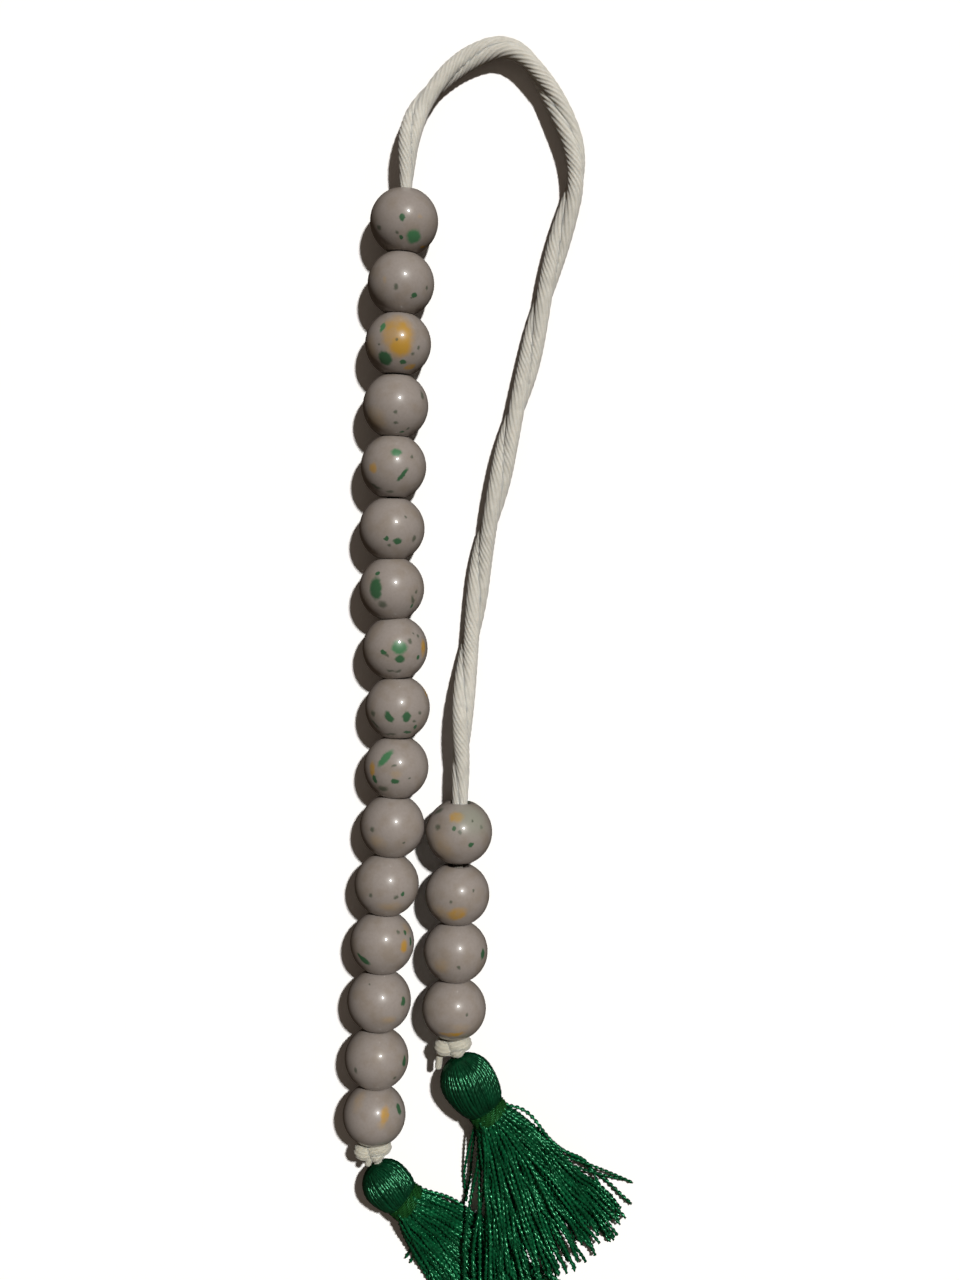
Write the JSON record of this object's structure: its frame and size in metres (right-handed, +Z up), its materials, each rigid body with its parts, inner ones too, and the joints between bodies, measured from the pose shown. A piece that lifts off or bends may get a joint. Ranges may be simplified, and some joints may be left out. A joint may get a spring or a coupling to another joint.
{
  "type": "prayer beads",
  "caption": "Glazed beads in a long and a short row on an open cord loop, with a stopper knot and a silk tassel below each row.",
  "frame": {"origin": "on the table, under the middle of the box round the beads, knots and tassels", "axes": "+Z up from the table, +Y from the tassels to the free loop of cord, +X from the long row to the short row"},
  "size_m": [0.0359, 0.1655, 0.008],
  "materials": {
    "bead_glaze": "glossy grey-beige glaze with green, ochre and gold splashes",
    "cotton_cord": "matt twisted cotton, off-white",
    "silk_thread": "silky twisted thread, emerald green",
    "binding_thread": "wound thread, olive green"
  },
  "bodies": {
    "cord": {"cord_loop": "cotton_cord", "left_cord_run": "cotton_cord", "left_stopper_knot": "cotton_cord", "left_cord_tail": "cotton_cord", "left_hanger_loop": "cotton_cord", "right_cord_run": "cotton_cord", "right_stopper_knot": "cotton_cord", "right_cord_tail": "cotton_cord", "right_hanger_loop": "cotton_cord"},
    "left_bead_01": {"left_bead_01": "bead_glaze"},
    "left_bead_02": {"left_bead_02": "bead_glaze"},
    "left_bead_03": {"left_bead_03": "bead_glaze"},
    "left_bead_04": {"left_bead_04": "bead_glaze"},
    "left_bead_05": {"left_bead_05": "bead_glaze"},
    "left_bead_06": {"left_bead_06": "bead_glaze"},
    "left_bead_07": {"left_bead_07": "bead_glaze"},
    "left_bead_08": {"left_bead_08": "bead_glaze"},
    "left_bead_09": {"left_bead_09": "bead_glaze"},
    "left_bead_10": {"left_bead_10": "bead_glaze"},
    "left_bead_11": {"left_bead_11": "bead_glaze"},
    "left_bead_12": {"left_bead_12": "bead_glaze"},
    "left_bead_13": {"left_bead_13": "bead_glaze"},
    "left_bead_14": {"left_bead_14": "bead_glaze"},
    "left_bead_15": {"left_bead_15": "bead_glaze"},
    "left_bead_16": {"left_bead_16": "bead_glaze"},
    "left_tassel": {"left_tassel_head": "silk_thread", "left_neck_binding": "binding_thread"},
    "left_skirt": {"left_tassel_skirt": "silk_thread"},
    "right_bead_01": {"right_bead_01": "bead_glaze"},
    "right_bead_02": {"right_bead_02": "bead_glaze"},
    "right_bead_03": {"right_bead_03": "bead_glaze"},
    "right_bead_04": {"right_bead_04": "bead_glaze"},
    "right_tassel": {"right_tassel_head": "silk_thread", "right_neck_binding": "binding_thread"},
    "right_skirt": {"right_tassel_skirt": "silk_thread"}
  },
  "joints": [
    {"name": "left_bead_01_slide", "type": "slide", "parent": "cord", "child": "left_bead_01", "axis": [0.0555, 0.9985, 0], "range_m": [0, 0.0025]},
    {"name": "left_bead_02_slide", "type": "slide", "parent": "cord", "child": "left_bead_02", "axis": [0.0541, 0.9985, 0], "range_m": [0, 0.0025]},
    {"name": "left_bead_03_slide", "type": "slide", "parent": "cord", "child": "left_bead_03", "axis": [0.0473, 0.9989, 0], "range_m": [0, 0.0025]},
    {"name": "left_bead_04_slide", "type": "slide", "parent": "cord", "child": "left_bead_04", "axis": [0.0403, 0.9992, 0], "range_m": [0, 0.0025]},
    {"name": "left_bead_05_slide", "type": "slide", "parent": "cord", "child": "left_bead_05", "axis": [0.0365, 0.9993, 0], "range_m": [0, 0.0025]},
    {"name": "left_bead_06_slide", "type": "slide", "parent": "cord", "child": "left_bead_06", "axis": [0.0206, 0.9998, 0], "range_m": [0, 0.0025]},
    {"name": "left_bead_07_slide", "type": "slide", "parent": "cord", "child": "left_bead_07", "axis": [-0.0197, 0.9998, 0], "range_m": [0, 0.0025]},
    {"name": "left_bead_08_slide", "type": "slide", "parent": "cord", "child": "left_bead_08", "axis": [-0.0753, 0.9972, 0], "range_m": [0, 0.0025]},
    {"name": "left_bead_09_slide", "type": "slide", "parent": "cord", "child": "left_bead_09", "axis": [0.0006, 1, 0], "range_m": [0, 0.0025]},
    {"name": "left_bead_10_slide", "type": "slide", "parent": "cord", "child": "left_bead_10", "axis": [0.0478, 0.9989, 0], "range_m": [0, 0.0025]},
    {"name": "left_bead_11_slide", "type": "slide", "parent": "cord", "child": "left_bead_11", "axis": [0.0969, 0.9953, 0], "range_m": [0, 0.0025]},
    {"name": "left_bead_12_slide", "type": "slide", "parent": "cord", "child": "left_bead_12", "axis": [0.0903, 0.9959, 0], "range_m": [0, 0.0025]},
    {"name": "left_bead_13_slide", "type": "slide", "parent": "cord", "child": "left_bead_13", "axis": [0.0687, 0.9976, 0], "range_m": [0, 0.0025]},
    {"name": "left_bead_14_slide", "type": "slide", "parent": "cord", "child": "left_bead_14", "axis": [0.0471, 0.9989, 0], "range_m": [0, 0.0025]},
    {"name": "left_bead_15_slide", "type": "slide", "parent": "cord", "child": "left_bead_15", "axis": [0.0466, 0.9989, 0], "range_m": [0, 0.0025]},
    {"name": "left_bead_16_slide", "type": "slide", "parent": "cord", "child": "left_bead_16", "axis": [0.0466, 0.9989, 0], "range_m": [0, 0.0025]},
    {"name": "left_tassel_swing", "type": "hinge", "parent": "cord", "child": "left_tassel", "pos_m": [-0.0126, -0.0514, 0.0032], "axis": [0, 0, 1], "range_deg": [-60, 0]},
    {"name": "left_skirt_lift", "type": "hinge", "parent": "left_tassel", "child": "left_skirt", "pos_m": [-0.00799, -0.05555, 0.0032], "axis": [-0.6691, -0.7431, 0], "range_deg": [0, 60]},
    {"name": "right_bead_01_slide", "type": "slide", "parent": "cord", "child": "right_bead_01", "axis": [0.0292, 0.9996, 0], "range_m": [0, 0.005]},
    {"name": "right_bead_02_slide", "type": "slide", "parent": "cord", "child": "right_bead_02", "axis": [0.0292, 0.9996, 0], "range_m": [0, 0.005]},
    {"name": "right_bead_03_slide", "type": "slide", "parent": "cord", "child": "right_bead_03", "axis": [0.0292, 0.9996, 0], "range_m": [0, 0.005]},
    {"name": "right_bead_04_slide", "type": "slide", "parent": "cord", "child": "right_bead_04", "axis": [0.0292, 0.9996, 0], "range_m": [0, 0.005]},
    {"name": "right_tassel_swing", "type": "hinge", "parent": "cord", "child": "right_tassel", "pos_m": [-0.00225, -0.03795, 0.0035], "axis": [0, 0, 1], "range_deg": [0, 60]},
    {"name": "right_skirt_lift", "type": "hinge", "parent": "right_tassel", "child": "right_skirt", "pos_m": [0.00189, -0.04432, 0.0035], "axis": [-0.8387, -0.5446, 0], "range_deg": [0, 60]}
  ],
  "couplings": [
    {"joint": "left_bead_02_slide", "follows": "left_bead_01_slide", "ratio": 1},
    {"joint": "left_bead_03_slide", "follows": "left_bead_01_slide", "ratio": 1},
    {"joint": "left_bead_04_slide", "follows": "left_bead_01_slide", "ratio": 1},
    {"joint": "left_bead_05_slide", "follows": "left_bead_01_slide", "ratio": 1},
    {"joint": "left_bead_06_slide", "follows": "left_bead_01_slide", "ratio": 1},
    {"joint": "left_bead_07_slide", "follows": "left_bead_01_slide", "ratio": 1},
    {"joint": "left_bead_08_slide", "follows": "left_bead_01_slide", "ratio": 1},
    {"joint": "left_bead_09_slide", "follows": "left_bead_01_slide", "ratio": 1},
    {"joint": "left_bead_10_slide", "follows": "left_bead_01_slide", "ratio": 1},
    {"joint": "left_bead_11_slide", "follows": "left_bead_01_slide", "ratio": 1},
    {"joint": "left_bead_12_slide", "follows": "left_bead_01_slide", "ratio": 1},
    {"joint": "left_bead_13_slide", "follows": "left_bead_01_slide", "ratio": 1},
    {"joint": "left_bead_14_slide", "follows": "left_bead_01_slide", "ratio": 1},
    {"joint": "left_bead_15_slide", "follows": "left_bead_01_slide", "ratio": 1},
    {"joint": "left_bead_16_slide", "follows": "left_bead_01_slide", "ratio": 1},
    {"joint": "right_bead_02_slide", "follows": "right_bead_01_slide", "ratio": 1},
    {"joint": "right_bead_03_slide", "follows": "right_bead_01_slide", "ratio": 1},
    {"joint": "right_bead_04_slide", "follows": "right_bead_01_slide", "ratio": 1},
    {"joint": "right_skirt_lift", "follows": "left_skirt_lift", "ratio": 1}
  ]
}
